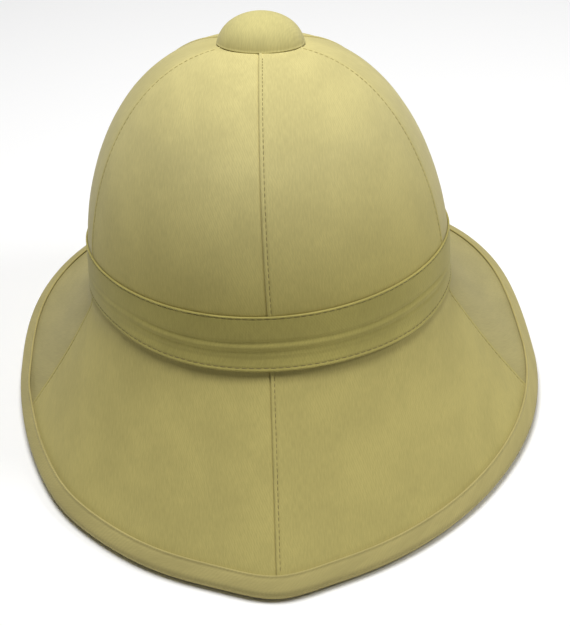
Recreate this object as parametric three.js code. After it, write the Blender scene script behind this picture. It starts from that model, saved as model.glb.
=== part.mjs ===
// A wide-brimmed pith helmet. A crown, a wall and a brim of moulded pith carry stretched cotton
// drill: six panels on the crown and its wall, and four on the brim. A folded band goes round the
// foot of the crown, a bias strip binds the hem, and a cloth-covered ventilator button closes the
// hole at the top.
// Sizes are in millimetres. +Z is up, the helmet stands on its hem at Z = 0, and -Y is the end with
// the long peak. Angles go round from that end: 0 is -Y, 90 is +X and 180 is +Y.
import * as THREE from 'three';

// Crown: the outer face of the moulded shell, measured in the crown's own tilted frame
const CROWN_HALF_WIDTH = 96.3;
const CROWN_HALF_LENGTH = 110.8;
const CROWN_HEIGHT = 136.5;
const CROWN_TAPER = 1.8;
const CROWN_TILT = 9.5;
const CROWN_FOOT_LIFT = 54.2;
const CROWN_FOOT_OFFSET = 1.75;
const CROWN_SIDE_RISE = 5.8;
const CROWN_TOP_LEAN = -2;
const DOME_RISE_POWER = 1.72;
const DOME_REACH_POWER = 2.72;

// Brim: the outermost line of its upper face, the hollow of its slope and the arch of its sides
const BRIM_HALF_WIDTH = 142.7;
const LONG_PEAK_REACH = 187.2;
const LONG_PEAK_POINT = 5.6;
const LONG_PEAK_POINT_SPREAD = 22;
const LONG_PEAK_POWER = 1.9;
const SHORT_PEAK_REACH = 180;
const SHORT_PEAK_POWER = 2.7;
const BRIM_SAG = 2;
const BRIM_FILLET = 7;
const SIDE_ARCH = 2;
const SIDE_ARCH_START = 0.77;

// Walls and clearances
const SHELL_WALL = 3.5;
const COVER_CLOTH = 1;
const BAND_CLOTH = 1.3;
const BINDING_CLOTH = 1;
const FIT_GAP = 0.3;
const SHELL_EDGE_GAP = 0.75;

// Band and binding
const BAND_HEIGHT = 30;
const BINDING_WIDTH = 10.5;
const HEM_ROUND = 3;

// Ventilator button and its post
const BUTTON_RADIUS = 22.9;
const BUTTON_RISE = 15;
const BUTTON_RIM_DROP = 0.95;
const BUTTON_RIM_ROUND = 1.4;
const POST_RADIUS = 4.2;
const POST_CLEARANCE = 0.8;
const POST_TAIL = 3;
const PANEL_TIP_CLEARANCE = 2.5;

// Seams, in degrees round the helmet
const CROWN_REAR_SEAM = 71;
const CROWN_FRONT_SEAM = 125;
const BRIM_SEAM = 77;
const HALF_TURN = 180;

// How finely the skins are faceted
const COLUMN_STEP = 8.6;
const DOME_ROWS = 9;
const BUTTON_SIDES = 24;
const BUTTON_DOME_ROWS = 5;

// Stations down the outer face: 0 at the top of the dome, 1 at the top of the band, 2 where the
// crown's wall turns into the brim, 3 where that turn ends and 4 at the outermost line of the hem
const BAND_TOP = 1;
const TURN_START = 2;
const TURN_MIDDLE = 2.5;
const TURN_END = 3;

// Soft folds that run along the band: the station of each line and the thickness there, as a share
// of the band's cloth. They are deepest at the long peak and fade towards the short one.
const BAND_FOLDS = [
  { station: BAND_TOP, thickness: 1.1 },
  { station: 1.16, thickness: 1.0 },
  { station: 1.38, thickness: 0.72 },
  { station: 1.55, thickness: 1.12 },
  { station: 1.75, thickness: 0.75 },
  { station: TURN_START, thickness: 1.1 },
  { station: TURN_MIDDLE, thickness: 1.2 },
];

// Faces of each layer, as offsets from the shell's outer face
const COVER_INNER = FIT_GAP;
const COVER_OUTER = COVER_INNER + COVER_CLOTH;
const TRIM_INNER = COVER_OUTER + FIT_GAP;
const BINDING_OUTER = TRIM_INNER + BINDING_CLOTH;
const SHELL_INNER = -SHELL_WALL;
const UNDER_INNER = SHELL_INNER - FIT_GAP;
const UNDER_OUTER = UNDER_INNER - BINDING_CLOTH;
const SHELL_EDGE_ROUND = HEM_ROUND - BINDING_CLOTH - SHELL_EDGE_GAP;

// Corners of a rounded edge, from its upper side over its nose to its underside
const EDGE_CORNERS = [45, 0, -45].map(THREE.MathUtils.degToRad);

// Step of angle or station over which the face's directions are measured
const STEP = 1e-3;

const crownFrame = new THREE.Matrix4()
  .makeRotationX(-THREE.MathUtils.degToRad(CROWN_TILT))
  .setPosition(0, CROWN_FOOT_OFFSET, CROWN_FOOT_LIFT);

const footHeight = (turn) => CROWN_SIDE_RISE * Math.sin(turn) ** 2;
const bandTopHeight = (turn) => BAND_HEIGHT + footHeight(turn);

// A point of the crown's outer face at an angle round it and a height above its foot
function crownPoint(turn, height) {
  const rise = Math.max(0, (height - BAND_HEIGHT) / (CROWN_HEIGHT - BAND_HEIGHT));
  const dome = Math.max(0, 1 - rise ** DOME_RISE_POWER) ** (1 / DOME_REACH_POWER);
  const taper = CROWN_TAPER * Math.min(1, height / BAND_HEIGHT);
  const x = (CROWN_HALF_WIDTH - taper) * dome * Math.sin(turn);
  const y = -(CROWN_HALF_LENGTH - taper) * dome * Math.cos(turn) + CROWN_TOP_LEAN * rise;
  return new THREE.Vector3(x, y, height).applyMatrix4(crownFrame);
}

// The hem stands on the ground all round, apart from a slight arch at each side
function hemLift(turn) {
  const share = Math.max(0, (Math.abs(Math.sin(turn)) - SIDE_ARCH_START) / (1 - SIDE_ARCH_START));
  return SIDE_ARCH * share ** 2;
}

// The outermost point of the brim's upper face. Its height lets the binding that is wrapped round
// the edge below it touch the ground.
function hemPoint(turn) {
  const [side, ahead] = [Math.sin(turn), Math.cos(turn)];
  const isLongPeak = ahead > 0;
  const power = isLongPeak ? LONG_PEAK_POWER : SHORT_PEAK_POWER;
  const reach = isLongPeak ? LONG_PEAK_REACH : SHORT_PEAK_REACH;
  const fullness = (Math.abs(side) ** power + Math.abs(ahead) ** power) ** (-1 / power);
  const x = BRIM_HALF_WIDTH * side * fullness;
  const point = isLongPeak ? LONG_PEAK_POINT * Math.exp(-((x / LONG_PEAK_POINT_SPREAD) ** 2)) : 0;
  const y = -reach * ahead * fullness - point;

  const foot = crownPoint(turn, footHeight(turn));
  const run = Math.hypot(x - foot.x, y - foot.y);
  const drop = foot.z - hemLift(turn);
  const slope = Math.atan2(drop, run) - Math.atan((4 * BRIM_SAG) / Math.hypot(run, drop));
  const corner = Math.SQRT1_2;
  const middle = (BINDING_OUTER + UNDER_OUTER) / 2;
  const half = (BINDING_OUTER - UNDER_OUTER) / 2;
  const inward = (1 - corner) * HEM_ROUND * Math.sin(slope);
  const down = (corner * half - middle) * Math.cos(slope);
  return new THREE.Vector3(x, y, hemLift(turn) + down - inward);
}

// A point of the brim's upper face, at a share of the way from the crown's foot to the hem
function brimPoint(turn, share) {
  const foot = crownPoint(turn, footHeight(turn));
  const chord = hemPoint(turn).sub(foot);
  const run = Math.hypot(chord.x, chord.y);
  const normal = new THREE.Vector3(-chord.x * chord.z, -chord.y * chord.z, run * run).normalize();
  const sag = 4 * BRIM_SAG * share * (1 - share);
  return foot.addScaledVector(chord, share).addScaledVector(normal, -sag);
}

const brimLength = (turn) => hemPoint(turn).distanceTo(crownPoint(turn, footHeight(turn)));

// The station on the brim that lies a given length in from its outermost line
function stationFromHem(turn, inward) {
  const turned = BRIM_FILLET / brimLength(turn);
  const share = 1 - inward / brimLength(turn);
  return TURN_END + (share - turned) / (1 - turned);
}

// The shell's outer face, from the top of the dome to the hem
function surfacePoint(turn, station) {
  const bandTop = bandTopHeight(turn);
  const turnTop = footHeight(turn) + BRIM_FILLET;
  if (station <= BAND_TOP) {
    const fall = Math.cos((station * Math.PI) / 2) ** (2 / DOME_RISE_POWER);
    return crownPoint(turn, THREE.MathUtils.lerp(bandTop, CROWN_HEIGHT, fall));
  }
  if (station <= TURN_START) {
    return crownPoint(turn, THREE.MathUtils.lerp(bandTop, turnTop, station - BAND_TOP));
  }
  const turned = BRIM_FILLET / brimLength(turn);
  if (station <= TURN_END) {
    const bend = new THREE.QuadraticBezierCurve3(
      crownPoint(turn, turnTop),
      crownPoint(turn, footHeight(turn)),
      brimPoint(turn, turned),
    );
    return bend.getPoint(station - TURN_START);
  }
  return brimPoint(turn, THREE.MathUtils.lerp(turned, 1, station - TURN_END));
}

// The face's directions at a point: along goes down to the hem, across goes round the helmet and
// out is the outward normal
function surfaceFrame(turn, station) {
  const along = surfacePoint(turn, station + STEP).sub(surfacePoint(turn, station - STEP)).normalize();
  const across = surfacePoint(turn + STEP, station).sub(surfacePoint(turn - STEP, station)).normalize();
  const out = new THREE.Vector3().crossVectors(along, across).normalize();
  return { along, across, out };
}

function layerPoint(turn, station, offset) {
  return surfacePoint(turn, station).addScaledVector(surfaceFrame(turn, station).out, offset);
}

// The corners of a rounded edge at the hem, for a layer between two offsets
function edgeCorners(turn, upper, lower, round) {
  const station = stationFromHem(turn, HEM_ROUND);
  const { along, out } = surfaceFrame(turn, station);
  const centre = surfacePoint(turn, station).addScaledVector(out, (upper + lower) / 2);
  return EDGE_CORNERS.map((angle) =>
    centre
      .clone()
      .addScaledVector(along, round * Math.cos(angle))
      .addScaledVector(out, ((upper - lower) / 2) * Math.sin(angle)),
  );
}

// Stations of the rows of facets
const domeStation = (radius) =>
  Math.asin((radius / (CROWN_HALF_WIDTH - CROWN_TAPER)) ** (DOME_REACH_POWER / 2)) / (Math.PI / 2);
const domeStations = Array.from({ length: DOME_ROWS }, (_, row) => (row + 1) / DOME_ROWS);

// The crown's wall behind the band keeps one gap to the dome above it and to the brim below it
const WALL_GAP = FIT_GAP / (BAND_HEIGHT - BRIM_FILLET);
const WALL_TOP = BAND_TOP + WALL_GAP;
const WALL_MIDDLE = (BAND_TOP + TURN_START) / 2;
const WALL_FOOT = TURN_START - WALL_GAP;

function brimStations(turn) {
  const bound = stationFromHem(turn, BINDING_WIDTH);
  const middle = [1 / 3, 2 / 3].map((share) => THREE.MathUtils.lerp(TURN_END, bound, share));
  return [TURN_MIDDLE, TURN_END, ...middle, bound, stationFromHem(turn, HEM_ROUND)];
}

// Columns of facets round the helmet: the seams and even steps between them
const SEAMS = [CROWN_REAR_SEAM, BRIM_SEAM, CROWN_FRONT_SEAM, HALF_TURN];

function columnsBetween(from, to) {
  const stops = [...SEAMS.map((seam) => -seam), 0, ...SEAMS].sort((a, b) => a - b);
  const inside = stops.filter((stop) => stop > from && stop < to);
  const ends = [from, ...inside, to];
  const columns = [from];
  for (let i = 1; i < ends.length; i++) {
    const steps = Math.max(1, Math.round((ends[i] - ends[i - 1]) / COLUMN_STEP));
    for (let step = 1; step <= steps; step++) {
      columns.push(THREE.MathUtils.lerp(ends[i - 1], ends[i], step / steps));
    }
  }
  return columns.map(THREE.MathUtils.degToRad);
}

const allRound = columnsBetween(-HALF_TURN, HALF_TURN).slice(0, -1);

// Joins closed rings of points into one skin, with each facet split along its shorter diagonal, so
// that layers over each other are faceted alike. The rings of a full turn close on the first one. An
// open run of rings is capped at both ends, between the wall's outer and inner rows.
function loft(rings, isFullTurn) {
  const size = rings[0].length;
  const points = rings.flat();
  const indices = [];
  const spans = isFullTurn ? rings.length : rings.length - 1;
  for (let span = 0; span < spans; span++) {
    const here = span * size;
    const next = ((span + 1) % rings.length) * size;
    for (let i = 0; i < size; i++) {
      const j = (i + 1) % size;
      const [a, b, c, d] = [here + i, here + j, next + j, next + i];
      const isShorter = points[a].distanceTo(points[c]) < points[b].distanceTo(points[d]);
      indices.push(...(isShorter ? [a, b, c, a, c, d] : [a, b, d, b, c, d]));
    }
  }
  if (!isFullTurn) {
    const last = (rings.length - 1) * size;
    for (let i = 0; i + 1 < size / 2; i++) {
      const [a, b, innerA, innerB] = [i, i + 1, size - 1 - i, size - 2 - i];
      indices.push(b, a, innerA, b, innerA, innerB);
      indices.push(last + a, last + b, last + innerB, last + a, last + innerB, last + innerA);
    }
  }
  const geometry = new THREE.BufferGeometry();
  const positions = points.flatMap((point) => point.toArray());
  geometry.setAttribute('position', new THREE.Float32BufferAttribute(positions, 3));
  geometry.setIndex(indices);
  geometry.computeVertexNormals();
  return geometry;
}

function wallShellRing(turn) {
  const stations = [WALL_TOP, WALL_MIDDLE, WALL_FOOT];
  return [
    ...stations.map((station) => layerPoint(turn, station, 0)),
    ...stations.reverse().map((station) => layerPoint(turn, station, SHELL_INNER)),
  ];
}

function brimShellRing(turn) {
  const stations = [TURN_START, ...brimStations(turn)];
  return [
    ...stations.map((station) => layerPoint(turn, station, 0)),
    ...edgeCorners(turn, 0, SHELL_INNER, SHELL_EDGE_ROUND),
    ...stations.reverse().map((station) => layerPoint(turn, station, SHELL_INNER)),
  ];
}

// A panel between two angles and two offsets. Its edges stand half a gap back from each seam.
function panel({ from, to, stationsAt, outer, inner }) {
  const columns = columnsBetween(from, to);
  const rings = columns.map((turn, column) => {
    const side = column === 0 ? 1 : column === columns.length - 1 ? -1 : 0;
    const pointAt = (station, offset) => {
      const { across } = surfaceFrame(turn, station);
      return layerPoint(turn, station, offset).addScaledVector(across, (side * FIT_GAP) / 2);
    };
    const stations = stationsAt(turn);
    return [
      ...stations.map((station) => pointAt(station, outer)),
      ...stations.reverse().map((station) => pointAt(station, inner)),
    ];
  });
  return loft(rings, false);
}

const crownShellStations = () => [domeStation(POST_RADIUS + POST_CLEARANCE), ...domeStations];

function crownPanelStations() {
  const tip = domeStation(POST_RADIUS + POST_CLEARANCE + PANEL_TIP_CLEARANCE);
  return [tip, ...domeStations, WALL_MIDDLE, WALL_FOOT];
}

const brimPanelStations = (turn) => [TURN_START, ...brimStations(turn)];

function bandRing(turn) {
  const depth = (1 + Math.cos(turn)) / 2;
  const outer = BAND_FOLDS.map(({ station, thickness }) =>
    layerPoint(turn, station, TRIM_INNER + BAND_CLOTH * THREE.MathUtils.lerp(1, thickness, depth)),
  );
  const inner = BAND_FOLDS.map(({ station }) => layerPoint(turn, station, TRIM_INNER));
  return [...outer, ...inner.reverse()];
}

// The binding is folded round the edge. Its lowest two lines are pressed flat where it stands.
function bindingRing(turn) {
  const bound = stationFromHem(turn, BINDING_WIDTH);
  const round = stationFromHem(turn, HEM_ROUND);
  const nose = edgeCorners(turn, BINDING_OUTER, UNDER_OUTER, HEM_ROUND);
  const heel = layerPoint(turn, round, UNDER_OUTER);
  nose.at(-1).z = hemLift(turn);
  heel.z = hemLift(turn);
  return [
    layerPoint(turn, bound, BINDING_OUTER),
    layerPoint(turn, round, BINDING_OUTER),
    ...nose,
    heel,
    layerPoint(turn, bound, UNDER_OUTER),
    layerPoint(turn, bound, UNDER_INNER),
    layerPoint(turn, round, UNDER_INNER),
    ...edgeCorners(turn, TRIM_INNER, UNDER_INNER, HEM_ROUND - BINDING_CLOTH).reverse(),
    layerPoint(turn, round, TRIM_INNER),
    layerPoint(turn, bound, TRIM_INNER),
  ];
}

// A low dome on a plain post. The post goes down through the hole in the shell.
function buttonGeometry() {
  const rimHeight = FIT_GAP - BUTTON_RIM_DROP;
  const shoulder = rimHeight + BUTTON_RIM_ROUND;
  const tail = -(COVER_OUTER + SHELL_WALL + POST_TAIL);
  const profile = [
    new THREE.Vector2(0, tail),
    new THREE.Vector2(POST_RADIUS, tail),
    new THREE.Vector2(POST_RADIUS, FIT_GAP),
    new THREE.Vector2(BUTTON_RADIUS - BUTTON_RIM_ROUND / 2, rimHeight),
    new THREE.Vector2(BUTTON_RADIUS, shoulder),
  ];
  for (let row = 1; row <= BUTTON_DOME_ROWS; row++) {
    const angle = (row / BUTTON_DOME_ROWS) * (Math.PI / 2);
    const radius = row === BUTTON_DOME_ROWS ? 0 : BUTTON_RADIUS * Math.cos(angle);
    profile.push(new THREE.Vector2(radius, shoulder + (BUTTON_RISE - shoulder) * Math.sin(angle)));
  }
  return new THREE.LatheGeometry(profile, BUTTON_SIDES).rotateX(Math.PI / 2);
}

const pith = new THREE.MeshStandardMaterial({ color: 0x8f8a6a, roughness: 0.95, metalness: 0 });
const drill = new THREE.MeshStandardMaterial({ color: 0xbdb177, roughness: 0.9, metalness: 0 });
const bandDrill = new THREE.MeshStandardMaterial({ color: 0xa89d66, roughness: 0.9, metalness: 0 });
const tape = new THREE.MeshStandardMaterial({ color: 0xb0a56c, roughness: 0.85, metalness: 0 });

const helmet = new THREE.Group();

function addPiece(name, geometry, material) {
  const piece = new THREE.Mesh(geometry, material);
  piece.name = name;
  helmet.add(piece);
  return piece;
}

// The dome is moulded in two halves that meet under the centre seams
const CROWN_HALVES = [
  { name: 'right', from: 0, to: HALF_TURN },
  { name: 'left', from: -HALF_TURN, to: 0 },
];
for (const { name, from, to } of CROWN_HALVES) {
  const faces = { stationsAt: crownShellStations, outer: 0, inner: SHELL_INNER };
  addPiece(`crown_shell_${name}`, panel({ from, to, ...faces }), pith);
}
addPiece('wall_shell', loft(allRound.map(wallShellRing), true), pith);
addPiece('brim_shell', loft(allRound.map(brimShellRing), true), pith);

const COVER_FACES = { outer: COVER_OUTER, inner: COVER_INNER };

const CROWN_PANELS = [
  { name: 'rear_right', from: 0, to: CROWN_REAR_SEAM },
  { name: 'side_right', from: CROWN_REAR_SEAM, to: CROWN_FRONT_SEAM },
  { name: 'front_right', from: CROWN_FRONT_SEAM, to: HALF_TURN },
  { name: 'rear_left', from: -CROWN_REAR_SEAM, to: 0 },
  { name: 'side_left', from: -CROWN_FRONT_SEAM, to: -CROWN_REAR_SEAM },
  { name: 'front_left', from: -HALF_TURN, to: -CROWN_FRONT_SEAM },
];
for (const { name, from, to } of CROWN_PANELS) {
  const cover = panel({ from, to, stationsAt: crownPanelStations, ...COVER_FACES });
  addPiece(`crown_panel_${name}`, cover, drill);
}

const BRIM_PANELS = [
  { name: 'rear_right', from: 0, to: BRIM_SEAM },
  { name: 'front_right', from: BRIM_SEAM, to: HALF_TURN },
  { name: 'rear_left', from: -BRIM_SEAM, to: 0 },
  { name: 'front_left', from: -HALF_TURN, to: -BRIM_SEAM },
];
for (const { name, from, to } of BRIM_PANELS) {
  const cover = panel({ from, to, stationsAt: brimPanelStations, ...COVER_FACES });
  addPiece(`brim_panel_${name}`, cover, drill);
}

addPiece('hat_band', loft(allRound.map(bandRing), true), bandDrill);
addPiece('brim_binding', loft(allRound.map(bindingRing), true), tape);

const button = addPiece('vent_button', buttonGeometry(), drill);
button.position.copy(crownPoint(0, CROWN_HEIGHT + COVER_OUTER));
button.rotation.x = -THREE.MathUtils.degToRad(CROWN_TILT);

// The origin is on the ground, midway between the two peaks
const extent = new THREE.Box3().setFromObject(helmet);
helmet.position.y = -(extent.min.y + extent.max.y) / 2;
helmet.updateMatrixWorld(true);

export default helmet;
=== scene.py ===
"""A pith helmet in khaki cotton drill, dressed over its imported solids.

Each operator builds one piece, or a group of like pieces, from the sizes and colours in the scene's
property groups. Points of the shell's outer face are found by an angle round the helmet and a
station down it, as in the solids: angle 0 is the long peak at -Y, 90 degrees is +X. Station 0 is the
top of the dome, 1 the top of the band, 2 the start of the turn into the brim, 3 its end and 4 the
outermost line of the hem.
"""

import math
from types import SimpleNamespace

import bmesh
import bpy
import numpy as np
from mathutils import Matrix, Vector


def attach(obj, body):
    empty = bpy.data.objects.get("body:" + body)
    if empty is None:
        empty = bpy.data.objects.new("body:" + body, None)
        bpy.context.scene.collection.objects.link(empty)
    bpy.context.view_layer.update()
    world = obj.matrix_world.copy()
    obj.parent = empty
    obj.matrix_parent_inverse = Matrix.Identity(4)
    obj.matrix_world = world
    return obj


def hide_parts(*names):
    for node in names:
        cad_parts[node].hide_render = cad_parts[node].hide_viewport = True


bl_info = {
    "name": "Pith Helmet",
    "version": (1, 0, 0),
    "blender": (4, 5, 0),
    "location": "3D View > Sidebar > Helmet",
    "description": "Dresses a pith helmet in cotton drill, with its band, binding and button",
    "category": "Add Mesh",
}

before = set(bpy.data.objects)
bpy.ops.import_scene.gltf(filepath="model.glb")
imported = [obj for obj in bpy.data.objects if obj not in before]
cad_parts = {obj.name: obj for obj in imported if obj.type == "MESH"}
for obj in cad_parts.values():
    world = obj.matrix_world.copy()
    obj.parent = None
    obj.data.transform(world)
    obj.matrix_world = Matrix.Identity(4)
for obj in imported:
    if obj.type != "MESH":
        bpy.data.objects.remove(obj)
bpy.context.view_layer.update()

MM = 0.001
# Stations, and the step in stations or radians over which a slope is measured
BAND_TOP, TURN_START, TURN_END = 1.0, 2.0, 3.0
STEP = 1e-3
# Behind the band: where the crown's shell ends, its cover ends and the brim's cover starts
SHELL_END, COVER_END, BRIM_COVER_START = TURN_START - 0.02, 1.75, TURN_START - 0.2
# What a strip needs for its turned-in edges, and the round of drill that covers the button
TURNED_IN, BUTTON_ROUND = 4 * MM, 64 * MM
# How far forward and back the dome's pressed part starts and ends
PRESSED_FROM, PRESSED_TO = -28 * MM, 24 * MM
# How far stitches stand on the covers and on the band, and the points along a sewn seam
SEAM_THREAD_RISE, BAND_THREAD_RISE, SEAM_POINTS = 0.12 * MM, 0.05 * MM, 200

# The next four tables hold (distance in mm, rise in mm). An upper panel rises over a lapped seam by
# the distance in from its folded edge.
LAP_OVER = [
    (0.0, -0.55), (0.06, -0.1), (0.25, 0.3), (0.55, 0.46), (1.0, 0.5), (1.45, 0.42), (1.8, 0.16),
    (2.05, 0.02), (2.35, 0.14), (2.9, 0.24), (4.0, 0.14), (6.0, 0.04), (8.5, 0.0),
]

# The lower panel sinks towards the seam and runs on under the upper one
LAP_UNDER = [
    (-1.2, -0.75), (-0.3, -0.7), (0.15, -0.5), (0.5, -0.22), (1.0, -0.08), (2.0, -0.01),
    (4.0, 0.02), (8.5, 0.0),
]

# The bias strip rises over its folded upper edge, by the distance in from that edge
BIAS_FOLD = [
    (-0.05, -0.85), (0.0, -0.3), (0.18, 0.05), (0.5, 0.18), (0.85, 0.12), (1.25, -0.08),
    (1.7, -0.14), (2.3, -0.06), (3.2, 0.02), (4.5, 0.04), (6.0, 0.02), (7.4, 0.0),
]

# The strip's way back under the hem, by the distance in from the hem
BIAS_UNDER = [
    (3.0, 0.0), (4.5, 0.0), (6.5, 0.0), (8.5, 0.0), (9.8, 0.0), (10.3, 0.2), (10.5, 0.6),
]

# Humps are rows of (middle, width, height). The worn hem's drift to the right and the band's
# lift go by degrees round the helmet and are in mm.
DRIFT_RIGHT = [(25, 18, -1.9), (70, 16, 1.9), (106, 14, -1.0)]
DRIFT_LEFT = [(25, 18, -1.9), (80, 20, 3.6), (48, 10, -1.8)]
BAND_ASKEW = [(-62, 26, 2.2), (50, 22, -1.0)]

# The band's relief in mm, and where it puckers, by the share of the way down it
BAND_SEWN = [(0.02, 0.01, 0.14), (0.05, 0.011, -0.26), (0.95, 0.011, -0.24)]
BAND_FOLDS = [(0.515, 0.04, -0.6), (0.61, 0.04, 0.3), (0.7, 0.04, -0.4)]
BAND_PUCKERED = [(0.06, 0.06, 1), (0.95, 0.06, 1)]
# Its small waves in mm: (height, size, seed, height of the cloth they run over)
BAND_PUCKER, BAND_SWELL = (0.06, 4.5, 7, 12), (0.08, 26, 4, 30)
# The shares of its height over which its two folded edges are rolled
ROLLED_ABOVE, ROLLED_BELOW = 0.018, 0.014
# The degrees between which its folds deepen and fade over the long peak, and between which the
# faint folds of the sides end and those over the short peak start
FOLDS_DEEPEN, FOLDS_FADE, SIDES_END, SHORT_PEAK_STARTS = (-52, -34), (62, 80), (80, 100), (100, 120)
FAINT_SIDES, FAINT_SHORT_PEAK = 0.35, 0.3
# Lengths in mm round the band for a degree, and round the hem for a radian
BAND_GIRTH, HEM_GIRTH = 1.8, 165

# Soft waves of the covers: (height mm, size mm, seed)
CROWN_WAVES = [(0.1, 38, 3), (0.035, 13, 8)]
BRIM_WAVES = [(0.14, 46, 5), (0.04, 15, 2)]

# Lights that face the crown: (name, place in m, width in m, the stage's value with its power)
LIT_HEIGHT = 0.08
SOFTBOXES = [
    ("softbox_overhead", (-0.06, 0.08, 1.35), 0.9, "key_power"),
    ("softbox_right", (0.95, -0.15, 0.95), 0.4, "side_power"),
]


def linear(hex_colour):
    """The linear red, green and blue of an sRGB hex colour."""
    channels = [int(hex_colour[i : i + 2], 16) / 255 for i in (1, 3, 5)]
    return [c / 12.92 if c <= 0.04045 else ((c + 0.055) / 1.055) ** 2.4 for c in channels]


def length(name, description, millimetres):
    return bpy.props.FloatProperty(
        name=name, description=description, default=millimetres * MM, unit="LENGTH", precision=5
    )


def angle(name, description, degrees):
    return bpy.props.FloatProperty(
        name=name, description=description, default=math.radians(degrees), subtype="ANGLE"
    )


def number(name, description, value):
    return bpy.props.FloatProperty(name=name, description=description, default=value, precision=3)


def colour(name, description, hex_colour):
    return bpy.props.FloatVectorProperty(
        name=name, description=description, default=linear(hex_colour), min=0, max=1, subtype="COLOR"
    )


class HelmetCrown(bpy.types.PropertyGroup):
    """Sizes of the crown, in its own tilted frame"""

    half_width: length("Half width", "From the middle to the shell's side at the foot", 96.3)
    half_length: length("Half length", "From the middle to the shell's end at the foot", 110.8)
    height: length("Height", "From the foot to the top of the dome", 136.5)
    taper: length("Taper", "How far the wall has come in at the top of the band", 1.8)
    tilt: angle("Tilt", "How far the crown leans down towards the short peak", 9.5)
    foot_lift: length("Foot lift", "Height of the crown's foot over the ground", 54.2)
    foot_offset: length("Foot offset", "How far the foot is set towards the short peak", 1.75)
    side_rise: length("Side rise", "How far the foot rises at the sides", 5.8)
    top_lean: length("Top lean", "How far the top leans away from the long peak", -2)
    rise_power: number("Rise power", "How full the dome is towards its top", 1.72)
    reach_power: number("Reach power", "How full the dome is towards its sides", 2.72)
    sway: angle("Sway", "How far the top is knocked down on the right", 1.7)
    back_drop: length("Back drop", "How far the dome is pressed down behind its top", 1.2)
    rear_seam: angle("Rear seam", "Angle of the rear panels' side seams from the long peak", 71)
    front_seam: angle("Front seam", "Angle of the front panels' side seams from the long peak", 125)


class HelmetBrim(bpy.types.PropertyGroup):
    """Sizes of the brim, measured to the outermost line of its upper face"""

    half_width: length("Half width", "From the middle to the side of the hem", 142.7)
    long_reach: length("Long peak", "From the middle to the end of the long peak", 187.2)
    long_point: length("Point", "How far the long peak comes to a soft point", 5.6)
    point_spread: length("Point spread", "Half width of the soft point", 22)
    long_power: number("Long peak fullness", "Power of the long peak's outline", 1.9)
    short_reach: length("Short peak", "From the middle to the end of the short peak", 180)
    short_power: number("Short peak fullness", "Power of the short peak's outline", 2.7)
    sag: length("Sag", "Hollow of the brim's slope", 2)
    fillet: length("Turn", "Length of the turn between crown and brim, each way", 7)
    side_arch: length("Side arch", "Lift of the hem at the sides", 2)
    arch_start: number("Arch start", "Sine of the angle where the side arch starts", 0.77)
    seam: angle("Seam", "Angle of the side seams from the long peak", 77)


class HelmetCloth(bpy.types.PropertyGroup):
    """Sizes of the shell's wall and of the cloth on it"""

    shell_wall: length("Shell wall", "Thickness of the pressed pith", 3.5)
    shell_edge: length("Shell edge", "Half length of the shell's rounded edge", 1.25)
    drill: length("Drill", "Thickness of the cotton drill", 0.5)
    drill_face: length("Drill face", "From the shell's face to the cover's outer face", 1.35)
    band_height: length("Band height", "From the crown's foot to the top of the band", 30)
    band_inner: length("Band inner face", "From the shell's face to the back of the band", 1.5)
    band_wall: length("Band wall", "Thickness of the folded band", 0.9)
    band_flare: length("Band flare", "How far the lower edge stands off at the long peak", 1.3)
    binding_width: length("Binding width", "From the hem to the binding's edge", 10.5)
    binding_outer: length("Binding face", "From the shell's face to the binding's face", 2.6)
    binding_under: length("Binding below", "From the shell's underside to the binding's", 1.3)
    binding_wall: length("Binding wall", "Thickness of the folded binding", 0.9)
    hem_round: length("Hem roundness", "Length of the rounded hem", 3)
    gape_at: number("Gape", "Angle in degrees where the binding's edge stands off a little", -82)


class HelmetThread(bpy.types.PropertyGroup):
    """Sizes of the topstitching"""

    thickness: length("Thickness", "Thickness of the sewing thread", 0.42)
    seam_pitch: length("Seam pitch", "From stitch to stitch along the seams", 3.0)
    band_pitch: length("Band pitch", "From stitch to stitch along the band", 3.6)
    gap: length("Gap", "Gap between the ends of two stitches", 0.7)
    seam_inset: length("Seam inset", "From a seam's folded edge to its topstitching", 1.9)
    band_inset: length("Band inset", "From the band's edges to its topstitching", 1.45)


class HelmetButton(bpy.types.PropertyGroup):
    """Sizes of the ventilator button"""

    radius: length("Radius", "Radius of the button", 22.9)
    rise: length("Rise", "Height of the button over the crown's cloth", 15.4)
    rim_gap: length("Rim gap", "From the crown's cloth to the button's rim", 0.45)
    fullness: number("Fullness", "0 for a cap cut from a ball, 1 for an oval one", 0.55)
    rim_fold: length("Rim fold", "Radius of the cloth's fold round the rim", 0.4)
    offset: length("Offset", "How far the button sits to the right of the crown's middle", 0.9)
    post_radius: length("Post radius", "Radius of the post through the shell", 4.2)
    post_tail: length("Post tail", "How far the post reaches below the shell", 3)


class HelmetColours(bpy.types.PropertyGroup):
    """Colours of the cloth"""

    # The crown colour is the drill as drawn at the crown's foot, and the next one is the drill as
    # drawn at its top. The change between them with height is painted light: lighter and paler on top
    # where the lamp overhead falls, deeper at the shaded foot.
    crown: colour("Crown", "Khaki drill at the foot of the crown", "#b8ab60")
    painted_light_top: colour("Painted top light", "The same drill where the sun has bleached it, at the top", "#c6bb7e")
    # The side colour is darker and greyer than the crown's: painted shade, for how the side and front
    # panels lie and take the light beside their seams.
    side: colour("Side", "Drill of the side panels, cut from a greyer piece", "#bbaf72")
    brim: colour("Brim", "Drill on the long peak", "#b5a966")
    brim_front: colour("Brim front", "Drill on the rest of the brim", "#aa9f66")
    band: colour("Band", "Drill of the band", "#aea35b")
    binding: colour("Binding", "Bias strip round the hem", "#b0a469")
    button: colour("Button", "Drill of the button", "#c6bc7d")
    thread: colour("Thread", "Sewing thread", "#82774a")
    pale_thread: colour("Pale thread", "Thread of the side seams", "#aca067")
    lining: colour("Lining", "Cotton on the underside of the shell", "#5f6b4c")
    metal: colour("Post", "Nickel-plated brass of the post", "#b9b5ac")


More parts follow.
